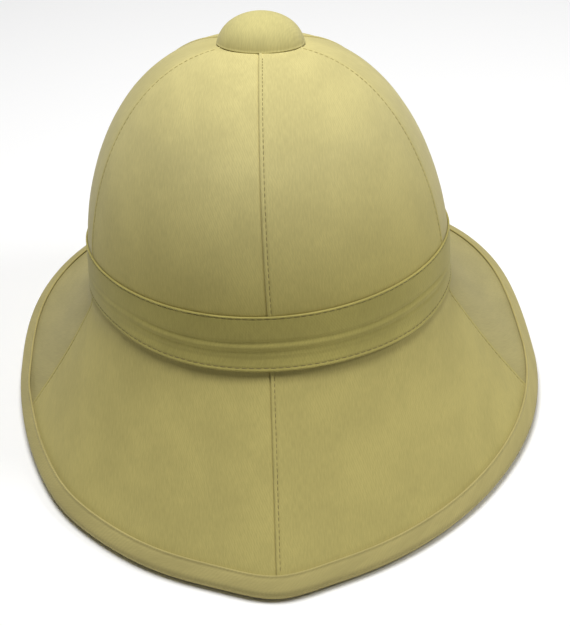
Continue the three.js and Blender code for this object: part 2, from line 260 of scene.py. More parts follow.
class HelmetStage(bpy.types.PropertyGroup):
    """The camera's place and the light"""

    distance: length("Distance", "From the target to the camera", 1050)
    azimuth: angle("Azimuth", "Camera's angle round the helmet from the long peak", 1.27)
    elevation: angle("Elevation", "Camera's height as an angle", 31.6)
    roll: angle("Roll", "Camera's turn about its own axis", -2.95)
    target_y: length("Target forward", "Target's place along Y", -3.36)
    target_z: length("Target height", "Target's height over the ground", 75)
    lens: number("Lens", "Focal length in millimetres on a 36 mm wide sensor", 113.77)
    shift_x: number("Shift across", "Camera's shift to the side", 0.0256)
    shift_y: number("Shift up", "Camera's shift upwards", -0.0786)
    key_power: number("Key light", "Power of the softbox overhead, in watts", 18)
    side_power: number("Side light", "Power of the softbox on the right, in watts", 4.2)
    sky: number("Room light", "Strength of the even light from all round", 0.07)


GROUPS = {
    "helmet_crown": HelmetCrown,
    "helmet_brim": HelmetBrim,
    "helmet_cloth": HelmetCloth,
    "helmet_thread": HelmetThread,
    "helmet_button": HelmetButton,
    "helmet_colours": HelmetColours,
    "helmet_stage": HelmetStage,
}


def plain(group):
    """The values of a property group, read once."""
    return SimpleNamespace(**{key: getattr(group, key) for key in type(group).__annotations__})


def mix(start, end, share):
    return start + (end - start) * share


def smooth(value, start, end):
    """0 before start, 1 after end and smooth between them."""
    share = np.clip((value - start) / (end - start), 0, 1)
    return share * share * (3 - 2 * share)


def bump(value, middle, width):
    """A smooth hump of height 1."""
    return np.exp(-(((value - middle) / width) ** 2))


def humps(value, table):
    """The sum of smooth humps, from rows of (middle, width, height)."""
    return sum(height * bump(value, middle, width) for middle, width, height in table)


def unit(vectors):
    return vectors / np.linalg.norm(vectors, axis=-1, keepdims=True)


class Form:
    """The shape of the helmet's shell, from the sizes in the scene."""

    def __init__(self, scene):
        self.crown = plain(scene.helmet_crown)
        self.brim = plain(scene.helmet_brim)
        self.cloth = plain(scene.helmet_cloth)
        self.thread = plain(scene.helmet_thread)
        self.button = plain(scene.helmet_button)
        self.colours = plain(scene.helmet_colours)
        self.centre_y = 0.0
        ends = self.hem_nose(np.array([0.0, math.pi]))
        self.centre_y = -ends[:, 1].sum() / 2

    def foot_height(self, turn):
        return self.crown.side_rise * np.sin(turn) ** 2

    def crown_point(self, turn, height):
        crown = self.crown
        band = self.cloth.band_height
        rise = np.maximum(0, (height - band) / (crown.height - band))
        dome = np.maximum(0, 1 - rise**crown.rise_power) ** (1 / crown.reach_power)
        # The sides are drawn in by the whole taper down to the foot
        x = (crown.half_width - crown.taper) * dome * np.sin(turn)
        taper = crown.taper * np.minimum(1, height / band)
        y = -(crown.half_length - taper) * dome * np.cos(turn)
        sway = math.tan(crown.sway) * rise
        pressed = crown.back_drop * smooth(y, PRESSED_FROM, PRESSED_TO) * rise
        x, height = x - sway * (crown.height - height), height - sway * x - pressed
        y = y + crown.top_lean * rise
        cos, sin = math.cos(crown.tilt), math.sin(crown.tilt)
        back = y * cos + height * sin + crown.foot_offset + self.centre_y
        up = height * cos - y * sin + crown.foot_lift
        return np.stack([x, back, up], -1)

    def hem_lift(self, turn):
        brim = self.brim
        share = np.maximum(0, (np.abs(np.sin(turn)) - brim.arch_start) / (1 - brim.arch_start))
        return brim.side_arch * share**2

    def hem_drift(self, turn):
        """How far the worn hem lies towards the right."""
        degrees = np.abs(np.degrees(turn))
        right, left = humps(degrees, DRIFT_RIGHT), humps(degrees, DRIFT_LEFT)
        return np.where(np.sin(turn) > 0, right, left) * MM

    def hem_point(self, turn):
        """The hem's line, as high as lets the binding's lower corner touch the ground."""
        brim, cloth = self.brim, self.cloth
        side, ahead = np.sin(turn), np.cos(turn)
        is_long = ahead > 0
        power = np.where(is_long, brim.long_power, brim.short_power)
        reach = np.where(is_long, brim.long_reach, brim.short_reach)
        fullness = (np.abs(side) ** power + np.abs(ahead) ** power) ** (-1 / power)
        across = brim.half_width * side * fullness
        point = np.where(is_long, brim.long_point * bump(across, 0, brim.point_spread), 0)
        x = across + self.hem_drift(turn)
        y = -reach * ahead * fullness - point + self.centre_y
        foot = self.crown_point(turn, self.foot_height(turn))
        run = np.hypot(x - foot[..., 0], y - foot[..., 1])
        drop = foot[..., 2] - self.hem_lift(turn)
        slope = np.arctan2(drop, run) - np.arctan(4 * brim.sag / np.hypot(run, drop))
        upper, lower = self.binding_faces()
        corner = math.sqrt(0.5)
        inward = (1 - corner) * cloth.hem_round * np.sin(slope)
        down = (corner * (upper - lower) / 2 - (upper + lower) / 2) * np.cos(slope)
        return np.stack([x, y, self.hem_lift(turn) + down - inward], -1)

    def binding_faces(self):
        """Offsets of the binding's outer faces above and below the shell."""
        cloth = self.cloth
        return cloth.binding_outer, -(cloth.shell_wall + cloth.binding_under)

    def brim_point(self, turn, share):
        foot = self.crown_point(turn, self.foot_height(turn))
        chord = self.hem_point(turn) - foot
        x, y, z = np.moveaxis(chord, -1, 0)
        normal = unit(np.stack([-x * z, -y * z, x**2 + y**2], -1))
        share = np.asarray(share)[..., None]
        return foot + chord * share - normal * 4 * self.brim.sag * share * (1 - share)

    def brim_length(self, turn):
        foot = self.crown_point(turn, self.foot_height(turn))
        return np.linalg.norm(self.hem_point(turn) - foot, axis=-1)

    def station_from_hem(self, turn, inward):
        turned = self.brim.fillet / self.brim_length(turn)
        share = 1 - inward / self.brim_length(turn)
        return TURN_END + (share - turned) / (1 - turned)

    def surface(self, turn, station):
        turn, station = np.broadcast_arrays(turn, station)
        crown, foot = self.crown, self.foot_height(turn)
        band_top = self.cloth.band_height + foot
        turn_top = foot + self.brim.fillet
        fall = np.cos(np.clip(station, 0, 1) * math.pi / 2) ** (2 / crown.rise_power)
        height = np.where(
            station <= BAND_TOP,
            mix(band_top, crown.height, fall),
            mix(band_top, turn_top, np.clip(station - BAND_TOP, 0, 1)),
        )
        wall = self.crown_point(turn, height)
        turned = self.brim.fillet / self.brim_length(turn)
        bend = np.clip(station - TURN_START, 0, 1)[..., None]
        elbow = (
            self.crown_point(turn, turn_top) * (1 - bend) ** 2
            + self.crown_point(turn, foot) * 2 * bend * (1 - bend)
            + self.brim_point(turn, turned) * bend**2
        )
        slope = self.brim_point(turn, mix(turned, 1, np.maximum(station - TURN_END, 0)))
        station = station[..., None]
        return np.where(station <= TURN_START, wall, np.where(station <= TURN_END, elbow, slope))

    def frame(self, turn, station):
        """Unit vectors down to the hem, round the helmet and outwards."""
        along = unit(self.surface(turn, station + STEP) - self.surface(turn, station - STEP))
        across = unit(self.surface(turn + STEP, station) - self.surface(turn - STEP, station))
        return along, across, unit(np.cross(along, across))

    def layer(self, turn, station, offset):
        out = self.frame(turn, station)[2]
        return self.surface(turn, station) + out * np.asarray(offset)[..., None]

    def hem_edge(self, turn, upper, lower, reach, corner):
        """A point of a rounded edge at the hem: corner is 90 degrees above and -90 below."""
        station = self.station_from_hem(turn, self.cloth.hem_round)
        along, _, out = self.frame(turn, station)
        middle = self.surface(turn, station) + out * (upper + lower) / 2
        return middle + along * reach * np.cos(corner) + out * (upper - lower) / 2 * np.sin(corner)

    def hem_nose(self, turn):
        upper, lower = self.binding_faces()
        return self.hem_edge(turn, upper, lower, self.cloth.hem_round, 0)

    def dome_station(self, radius):
        """The station at a distance from the crown's axis, near its top."""
        share = radius / (self.crown.half_width - self.crown.taper)
        return np.arcsin(share ** (self.crown.reach_power / 2)) / (math.pi / 2)

    def even_stations(self, turn, start, end, step):
        """Stations about one step apart, measured down the shell's face."""
        fine = np.linspace(start, end, 400)
        run = path_length(self.surface(turn, fine))
        count = max(2, round(run[-1] / step) + 1)
        return np.interp(np.linspace(0, run[-1], count), run, fine)


def path_length(points):
    """The length of a path up to each of its points."""
    steps = np.linalg.norm(np.diff(points, axis=0), axis=-1)
    return np.concatenate([np.zeros((1, *steps.shape[1:])), np.cumsum(steps, axis=0)])


def ripple(u, v, size, seed):
    """Soft irregular waves between -1 and 1, about size millimetres across."""
    total = np.zeros(np.broadcast(u, v).shape)
    for k in range(5):
        heading = seed * 1.7 + k * 2.399
        pitch = size * (0.75 + 0.17 * k)
        phase = seed * 5.1 + k * 1.9
        total += np.sin((u * math.cos(heading) + v * math.sin(heading)) * 2 * math.pi / pitch + phase)
    return total / 5


def finish_mesh(name, bm, material):
    """Turns a bmesh into a piece that sits at the origin."""
    for face in bm.faces:
        face.smooth = True
    mesh = bpy.data.meshes.new(name)
    bm.to_mesh(mesh)
    bm.free()
    mesh.materials.append(material)
    piece = bpy.data.objects.new(name, mesh)
    bpy.context.scene.collection.objects.link(piece)
    return piece


def skin(name, points, weave, material, is_closed=False):
    """A skin of points[row][column], made from a grid whose corners are laid on the form.

    A closed skin joins its last column to its first, and its last row to its first. weave gives
    each point's place on the cloth, in millimetres.
    """
    rows, columns = points.shape[:2]
    bm = bmesh.new()
    counted = Matrix.Diagonal((columns - 1, rows - 1, 1, 1)) @ Matrix.Translation((0.5, 0.5, 0))
    bmesh.ops.create_grid(bm, x_segments=columns - 1, y_segments=rows - 1, size=0.5, matrix=counted)
    layer = bm.loops.layers.uv.new("weave")
    for face in bm.faces:
        for loop in face.loops:
            loop[layer].uv = weave[round(loop.vert.co.y), round(loop.vert.co.x)]
    for vertex in bm.verts:
        vertex.co = points[round(vertex.co.y), round(vertex.co.x)]
    if is_closed:
        bmesh.ops.remove_doubles(bm, verts=bm.verts, dist=1e-6)
    bmesh.ops.reverse_faces(bm, faces=bm.faces)
    return finish_mesh(name, bm, material)


def thicken(piece, wall):
    """Gives a sheet of cloth its thickness, behind its outer face."""
    modifier = piece.modifiers.new("Cloth", "SOLIDIFY")
    modifier.thickness = wall
    modifier.offset = -1
    return piece


def cloth_area(points):
    """The area of a skin of points, in square metres."""
    down = points[1:, :-1] - points[:-1, :-1]
    over = points[:-1, 1:] - points[:-1, :-1]
    return float(np.linalg.norm(np.cross(down, over), axis=-1).sum())


def ring_skin(name, points, material):
    """A closed skin round the helmet, and the size of its strip of cloth laid flat."""
    points[:, -1] = points[:, 0]
    across = path_length(points.swapaxes(0, 1)).swapaxes(0, 1) / MM
    down = path_length(points) / MM
    piece = skin(name, points, np.stack([across, down], -1), material, is_closed=True)
    return piece, (float(across.max()) * MM, float(down.max()) * MM / 2 + TURNED_IN)


def cloth_panel(form, name, seams, laps, grain, ends, step, waves, material):
    """A panel of drill between two seams, which are angles round the helmet.

    laps has for each seam the table of how the panel lies over or under its neighbour, and grain is
    the share of the panel's width at which the threads run straight down. ends are the first and
    the last station by the angle, and step is the distance between rows.
    """
    start, end = seams
    top, bottom = ends
    first, last = [np.array(lap) for lap in laps]
    widest = max(first[-1, 0], last[-1, 0])
    inner = np.linspace(0, 1, 46)[1:-1]
    middle = (start + end) / 2
    down_middle = form.even_stations(middle, top(middle), bottom(middle), step)
    beyond = np.radians(6)
    fine = np.linspace(start - beyond, end + beyond, 240)
    rows, weave, rises = [], [], []
    for share in (down_middle - down_middle[0]) / (down_middle[-1] - down_middle[0]):
        station_fine = np.broadcast_to(mix(top(fine), bottom(fine), share), fine.shape)
        run = path_length(form.surface(fine, station_fine)) / MM
        begin, finish = np.interp([start, end], fine, run)
        # The laps narrow with the panel where it comes to a tip
        scale = min(1, 0.46 * (finish - begin) / widest)
        opening, closing = begin + first[:, 0] * scale, finish - last[::-1, 0] * scale
        distances = np.concatenate([opening, mix(opening[-1], closing[0], inner), closing])
        turns = np.interp(distances, run, fine)
        rise = np.interp((distances - begin) / scale, *first.T)
        rise += np.interp((finish - distances) / scale, *last.T)
        rows.append((turns, np.interp(turns, fine, station_fine)))
        rises.append(rise * MM)
        weave.append(distances - begin - grain * (finish - begin))
    turns, stations = np.array(rows).swapaxes(0, 1)
    across = np.array(weave)
    down = path_length(form.surface(turns, stations)) / MM
    waved = sum(height * ripple(across, down, size, seed) for height, size, seed in waves)
    rise = np.array(rises) + waved * MM
    points = form.layer(turns, stations, form.cloth.drill_face + rise)
    piece = skin(name, points, np.stack([across, down], -1), material)
    widths = path_length(points.swapaxes(0, 1))[-1]
    flat = (float(widths.max()), float(path_length(points)[-1].max()))
    return thicken(piece, form.cloth.drill), flat, cloth_area(points)


def lay_cover(form, part, panels, ends, step, waves):
    """Stretches the panels of the crown's or the brim's cover over its shell."""
    for name, seams, laps, grain, material in panels:
        piece, flat, area = cloth_panel(
            form, f"{part}_cloth_{name}", seams, laps, grain, ends, step, waves, material
        )
        adopt(piece, [f"{part}_panel_{name}"])


def lay_stitches(bm, path, out, pitch, gap, thickness):
    """Sews a row of stitches along a path. Each is a short thread that dips at both ends."""
    run = path_length(path)
    count = int(run[-1] // pitch)
    middles = (np.arange(count) + 0.5) * pitch + (run[-1] - count * pitch) / 2
    half = (pitch - gap) / 2

    def at(values, distances):
        return np.stack([np.interp(distances, run, values[:, axis]) for axis in range(3)], -1)

    centres = at(path, middles)
    tangents = unit(at(path, middles + half) - at(path, middles - half))
    outs = unit(at(out, middles))
    for centre, tangent, normal in zip(centres, tangents, outs):
        side = np.cross(normal, tangent)
        axes = np.stack([side * thickness / 2, normal * thickness / 2, tangent * half], 1)
        matrix = Matrix(axes.tolist()).to_4x4()
        matrix.translation = Vector(centre)
        bmesh.ops.create_uvsphere(bm, u_segments=6, v_segments=5, radius=1, matrix=matrix)


def add(tree, kind, output, inputs=None, **settings):
    """Adds a shader node, with its settings and its inputs' values or links, and gives an output."""
    node = tree.nodes.new("ShaderNode" + kind)
    for key, value in settings.items():
        setattr(node, key, value)
    for key, value in (inputs or {}).items():
        if isinstance(value, bpy.types.NodeSocket):
            tree.links.new(value, node.inputs[key])
        else:
            node.inputs[key].default_value = value
    return node.outputs[output] if node.outputs else None


def new_material(name):
    material = bpy.data.materials.new(name)
    material.use_nodes = True
    material.node_tree.nodes.clear()
    return material, material.node_tree


def end_material(tree, inputs):
    """Ends the nodes of a material with its shader."""
    shader = add(tree, "BsdfPrincipled", "BSDF", inputs)
    add(tree, "OutputMaterial", None, {"Surface": shader})


def cotton_drill(name, base, painted_light_top=None, wale_angle=68):
    """Piece-dyed cotton drill, pressed and stretched: matt, with uneven warp threads and a steep
    diagonal wale. The threads are really about 0.5 mm apart and the wales 0.8 mm. Both are drawn
    half as wide again, so that they show. Where a top colour is given, painted light is added: the
    drill is painted lighter and paler with height, as the lamp overhead lights the top most."""
    warp_mm, wale_mm, relief_mm = 0.75, 1.15, 0.09
    # Heights in m over which the painted light of the top comes in
    painted_light_from, painted_light_to = 0.095, 0.165
    material, tree = new_material(name)
    cloth = add(tree, "UVMap", "UV", uv_map="weave")
    pitch = (1 / warp_mm, 1 / (warp_mm * 6), 1)
    threads = add(tree, "Mapping", "Vector", {"Vector": cloth, "Scale": pitch})
    uneven = {"Vector": threads, "Scale": 1.0, "Detail": 2.0, "Roughness": 0.55}
    slub = add(tree, "TexNoise", "Fac", uneven, noise_dimensions="2D")
    heading = (0, 0, -math.radians(wale_angle - 90))
    turned = add(tree, "Mapping", "Vector", {"Vector": cloth, "Rotation": heading})
    ridges = {"Vector": turned, "Scale": 2 * math.pi / (20 * wale_mm), "Distortion": 1.2}
    ridges |= {"Detail": 1.0, "Detail Scale": 1.5}
    wale = add(tree, "TexWave", "Fac", ridges, wave_type="BANDS", bands_direction="X")
    cloudy = {"Vector": cloth, "Scale": 1 / 34, "Detail": 3.0, "Roughness": 0.6}
    mottle = add(tree, "TexNoise", "Fac", cloudy, noise_dimensions="2D")
    worn = {"Value": mottle, "From Min": 0.4, "From Max": 0.62, "To Min": 0.05, "To Max": 0.3}
    twill = add(tree, "MapRange", "Result", worn)
    diagonal = add(tree, "Math", 0, {0: wale, 1: twill}, operation="MULTIPLY")
    weave = add(tree, "Math", 0, {0: diagonal, 1: slub}, operation="ADD")
    shaded = {"Value": weave, "From Min": 0.35, "From Max": 0.85, "To Min": 0.93, "To Max": 1.06}
    tone = add(tree, "MapRange", "Result", shaded)
    stained = {"Value": mottle, "From Min": 0.3, "From Max": 0.7, "To Min": 0.965, "To Max": 1.035}
    patch = add(tree, "MapRange", "Result", stained)
    value = add(tree, "Math", 0, {0: tone, 1: patch}, operation="MULTIPLY")
    dye_and_painted_light = tuple(base)
    # Painted light: from these heights up, the colour is mixed towards the lighter, paler top colour.
    if painted_light_top:
        place = add(tree, "TexCoord", "Object")
        height = add(tree, "SeparateXYZ", "Z", {"Vector": place})
        light_painted = {"Value": height, "From Min": painted_light_from, "From Max": painted_light_to}
        share = add(tree, "MapRange", "Result", light_painted)
        dye_and_painted_light = add(tree, "Mix", 2, {0: share, 6: (*base, 1), 7: (*painted_light_top, 1)}, data_type="RGBA")
    dyed = add(tree, "VectorMath", 0, {0: dye_and_painted_light, "Scale": value}, operation="SCALE")
    raised = {"Height": weave, "Strength": 0.35, "Distance": relief_mm * MM}
    relief = add(tree, "Bump", "Normal", raised)
    matt = {"Roughness": 0.88, "Specular IOR Level": 0.25}
    nap = {"Sheen Weight": 0.12, "Sheen Roughness": 0.5}
    end_material(tree, {"Base Color": dyed, "Normal": relief, **matt, **nap})
    return material


def spun_thread(name, base):
    """Mercerised cotton sewing thread: a fine twist with a faint gloss."""
    material, tree = new_material(name)
    place = add(tree, "TexCoord", "Object")
    fine = {"Vector": place, "Scale": 1 / (0.5 * MM), "Detail": 1.0}
    twist = add(tree, "TexNoise", "Fac", fine)
    value = add(tree, "MapRange", "Result", {"Value": twist, "To Min": 0.8, "To Max": 1.2})
    dyed = add(tree, "VectorMath", 0, {0: tuple(base), "Scale": value}, operation="SCALE")
    end_material(tree, {"Base Color": dyed, "Roughness": 0.6, "Specular IOR Level": 0.3})
    return material


def plated_brass(base):
    """Turned brass with a dull nickel plate, worn a little uneven."""
    material, tree = new_material("nickel_plated_brass")
    place = add(tree, "TexCoord", "Object")
    patchy = {"Vector": place, "Scale": 1 / (1.5 * MM), "Detail": 3.0}
    wear = add(tree, "TexNoise", "Fac", patchy)
    rough = add(tree, "MapRange", "Result", {"Value": wear, "To Min": 0.28, "To Max": 0.5})
    end_material(tree, {"Base Color": (*base, 1), "Metallic": 1.0, "Roughness": rough})
    return material


def white_paper():
    """Matt white paper, as the pale ground of the photo."""
    material, tree = new_material("white_paper")
    white = (0.97, 0.97, 0.97, 1)
    end_material(tree, {"Base Color": white, "Roughness": 0.9, "Specular IOR Level": 0.1})
    return material


def adopt(piece, nodes):
    """Lets a piece ride with the helmet, in place of its solids."""
    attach(piece, "root")
    if nodes:
        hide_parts(*nodes)
    return piece


class HELMET_OT_shell(bpy.types.Operator):
    """Build the moulded pith shell: the crown with its wall, and the brim below it"""

    bl_idname = "helmet.shell"
    bl_label = "Pith shell"

    def execute(self, context):
        form = Form(context.scene)
        lining = cotton_drill("sage_cotton_lining", form.colours.lining)
        turns = np.linspace(-math.pi, math.pi, 145)
        # The vent hole, just wider than the button's post
        hole = form.dome_station(form.button.post_radius + 0.8 * MM)
        rows = form.even_stations(0, hole, SHELL_END, 4 * MM)
        crown = np.repeat(rows[:, None], len(turns), 1)
        nodes = ["crown_shell_right", "crown_shell_left", "wall_shell"]
        self.section(form, "crown_shell_pith", nodes, turns, crown, [], lining)

        hem = form.station_from_hem(turns, form.cloth.hem_round)
        brim = mix(TURN_START, hem[None, :], np.linspace(0, 1, 26)[:, None])
        wall, edge = form.cloth.shell_wall, form.cloth.shell_edge
        nose = [form.hem_edge(turns, 0, -wall, edge, c) for c in np.radians([60, 30, 0, -30, -60])]
        self.section(form, "brim_shell_pith", ["brim_shell"], turns, brim, nose, lining)
        return {"FINISHED"}

    def section(self, form, name, nodes, turns, stations, nose, material):
        """Builds a ring of the shell from its section: outer face, nose and inner face."""
        angles = np.broadcast_to(turns, stations.shape)
        wall = form.cloth.shell_wall
        outer = form.layer(angles, stations, 0)
        inner = form.layer(angles, stations, -wall)[::-1]
        points = np.concatenate([outer, np.array(nose).reshape(-1, len(turns), 3), inner, outer[:1]])
        adopt(ring_skin(name, points, material)[0], nodes)


class HELMET_OT_crown_panels(bpy.types.Operator):
    """Build the crown's six panels of stretched drill"""

    bl_idname = "helmet.crown_panels"
    bl_label = "Crown panels"

    def execute(self, context):
        form = Form(context.scene)
        dyes = form.colours
        # The six panels carry the painted light of the top; the side and front panels are also
        # painted darker and greyer, as painted shade.
        drill = cotton_drill("khaki_drill_crown", dyes.crown, dyes.painted_light_top)
        side = cotton_drill("khaki_drill_side", dyes.side, dyes.painted_light_top, wale_angle=60)
        rear, front, half = form.crown.rear_seam, form.crown.front_seam, math.pi
        over, under = LAP_OVER, LAP_UNDER
        # The panels meet round the post, under the button
        tip = form.dome_station(form.button.post_radius + 3.3 * MM)
        panels = [
            # (name, seams, laps, grain, material)
            ("rear_right", (0, rear), (over, over), 0, drill),
            ("side_right", (rear, front), (under, under), 0.5, side),
            ("front_right", (front, half), (over, over), 1, side),
            ("rear_left", (-rear, 0), (over, under), 1, drill),
            ("side_left", (-front, -rear), (under, under), 0.5, side),
            ("front_left", (-half, -front), (under, over), 0, side),
        ]
        ends = (lambda turn: tip, lambda turn: COVER_END)
        lay_cover(form, "crown", panels, ends, 1.5 * MM, CROWN_WAVES)
        return {"FINISHED"}


class HELMET_OT_brim_panels(bpy.types.Operator):
    """Build the brim's four panels of stretched drill"""

    bl_idname = "helmet.brim_panels"
    bl_label = "Brim panels"

    def execute(self, context):
        form = Form(context.scene)
        colours = form.colours
        drill = cotton_drill("khaki_drill_brim", colours.brim)
        side = cotton_drill("khaki_drill_brim_front", colours.brim_front, wale_angle=62)
        seam, half, over, under = form.brim.seam, math.pi, LAP_OVER, LAP_UNDER
        panels = [
            # (name, seams, laps, grain, material)
            ("rear_right", (0, seam), (over, over), 0, drill),
            ("front_right", (seam, half), (under, over), 1, side),
            ("rear_left", (-seam, 0), (over, under), 1, drill),
            ("front_left", (-half, -seam), (under, under), 0, side),
        ]
        # The cover is cut short of the rounded hem, inside the binding
        edge = form.cloth.hem_round + 1.2 * MM
        ends = (lambda turn: BRIM_COVER_START, lambda turn: form.station_from_hem(turn, edge))
        lay_cover(form, "brim", panels, ends, 1.4 * MM, BRIM_WAVES)
        return {"FINISHED"}


class HELMET_OT_band(bpy.types.Operator):
    """Build the folded band round the foot of the crown, topstitched along both edges"""

    bl_idname = "helmet.band"
    bl_label = "Band"

    def execute(self, context):
        form = Form(context.scene)
        colours = form.colours
        cloth, thread = form.cloth, form.thread
        material = cotton_drill("khaki_drill_band", colours.band, wale_angle=50)
        turns = np.linspace(-math.pi, math.pi, 481)
        # Rows lie close at both rolled and sewn edges
        upper = [0.0, 0.003, 0.009, 0.018, 0.026, 0.034, 0.042, 0.05, 0.058, 0.068, 0.08, 0.1]
        lower = [0.9, 0.915, 0.93, 0.941, 0.95, 0.959, 0.968, 0.976, 0.986, 0.993, 0.998, 1.0]
        shares = np.concatenate([upper, np.linspace(0.14, 0.88, 44), lower])
        points = [self.line(form, turns, share, True) for share in shares]
        points += [self.line(form, turns, share, False) for share in shares[::-3]]
        piece, flat = ring_skin("hat_band_cloth", np.array([*points, points[0]]), material)
        adopt(piece, ["hat_band"])

        inset = thread.band_inset / cloth.band_height
        yarn = spun_thread("spun_cotton_thread_band", colours.thread)
        bm = bmesh.new()
        for sewn in (inset, 1 - inset):
            out = form.frame(turns, self.stations(form, turns, sewn))[2]
            path = self.line(form, turns, sewn, True) + out * BAND_THREAD_RISE
            lay_stitches(bm, path, out, thread.band_pitch, thread.gap, thread.thickness)
        stitches = finish_mesh("hat_band_topstitch", bm, yarn)
        adopt(stitches, [])
        return {"FINISHED"}

    def stations(self, form, turn, share):
        """Stations of a share of the way down the band. It was put on a little askew."""
        wall = form.cloth.band_height - form.brim.fillet
        turned, turned_station = 0.5 * form.brim.fillet, 0.42
        lift = humps(np.degrees(turn), BAND_ASKEW) * MM
        run = share * (wall + turned - lift)
        below = TURN_START + turned_station * (run - wall) / turned
        return np.where(run < wall, BAND_TOP + run / wall, below)

    def line(self, form, turns, share, is_outer):
        """A line round the band, on its outer or its inner face."""
        cloth = form.cloth
        ahead = smooth(np.cos(turns), 0.35, 0.9)
        offset = cloth.band_inner + cloth.band_flare * smooth(share, 0.8, 1.0) * ahead
        if is_outer:
            offset = offset + self.face(form, turns, share)
        else:
            share = min(max(share, 0.02), 0.98)
        return form.layer(turns, self.stations(form, turns, share), offset)

    def face(self, form, turn, share):
        """How far the band's outer face stands off its back."""
        roll = np.minimum(np.minimum(share / ROLLED_ABOVE, (1 - share) / ROLLED_BELOW), 1)
        roll = np.sqrt(1 - (1 - roll) ** 2)
        # The folds are deep over the long peak and faint elsewhere
        degrees = np.degrees(turn)
        fold = smooth(degrees, *FOLDS_DEEPEN) * (1 - smooth(degrees, *FOLDS_FADE))
        fold = np.maximum(fold, FAINT_SIDES * (1 - smooth(np.abs(degrees), *SIDES_END)))
        fold = np.maximum(fold, FAINT_SHORT_PEAK * smooth(np.abs(degrees), *SHORT_PEAK_STARTS))
        slide = share - 0.06 * smooth(degrees, 50, 80) + 0.01 * np.sin(turn * 7 + 1)
        girth = degrees * BAND_GIRTH
        rise = humps(share, BAND_SEWN) + 0.1 * bump(share, 0.98, 0.01) * roll
        rise = rise + humps(slide, BAND_FOLDS) * fold
        waves = [(BAND_PUCKER, humps(share, BAND_PUCKERED)), (BAND_SWELL, roll)]
        for (height, size, seed, over), strength in waves:
            rise += height * ripple(girth, share * over, size, seed) * strength
        return form.cloth.band_wall * (0.15 + 0.85 * roll) + rise * MM


class HELMET_OT_binding(bpy.types.Operator):
    """Build the bias strip folded round the hem"""

    bl_idname = "helmet.binding"
    bl_label = "Hem binding"

    def execute(self, context):
        form = Form(context.scene)
        cloth = form.cloth
        material = cotton_drill("khaki_drill_bias_strip", form.colours.binding, wale_angle=35)
        turns = np.linspace(-math.pi, math.pi, 541)
        width, nose, wall = cloth.binding_width, cloth.hem_round, cloth.binding_wall
        upper, lower = form.binding_faces()
        rows = [self.upper(form, turns, width - d * MM, upper + r * MM) for d, r in BIAS_FOLD]
        for corner in np.radians(np.linspace(72, -72, 9)):
            rows.append(form.hem_edge(turns, upper, lower, nose, corner))
        rows += [self.lower(form, turns, d * MM, lower + r * MM) for d, r in BIAS_UNDER]
        # The strip's inner face goes back the same way, a wall further in, from edge to edge
        under_edge, upper_edge = 10.2 * MM, width - 0.4 * MM
        rows.append(self.lower(form, turns, under_edge, lower + wall))
        rows.append(self.lower(form, turns, nose, lower + wall))
        for corner in np.radians([-60, 0, 60]):
            rows.append(form.hem_edge(turns, upper - wall, lower + wall, nose - wall, corner))
        rows.append(self.upper(form, turns, nose, upper - wall))
        rows.append(self.upper(form, turns, upper_edge, upper - wall))
        points = np.array(rows + rows[:1])
        points[..., 2] = np.maximum(points[..., 2], form.hem_lift(turns)[None, :])
        piece, flat = ring_skin("brim_binding_cloth", points, material)
        adopt(piece, ["brim_binding"])
        return {"FINISHED"}

    def upper(self, form, turns, inward, offset):
        """A line on the upper side. It puckers a little, and gapes at one place on the left."""
        girth = turns * HEM_GIRTH
        pucker = 0.07 * MM * ripple(girth + inward / MM * 0.8, inward / MM * 0.4, 9, 6)
        edge = smooth(inward, 0.35 * form.cloth.binding_width, form.cloth.binding_width)
        gape = 0.8 * MM * bump(np.degrees(turns), form.cloth.gape_at, 4.5) * edge
        return form.layer(turns, form.station_from_hem(turns, inward), offset + pucker + gape)

    def lower(self, form, turns, inward, offset):
        return form.layer(turns, form.station_from_hem(turns, inward), offset)


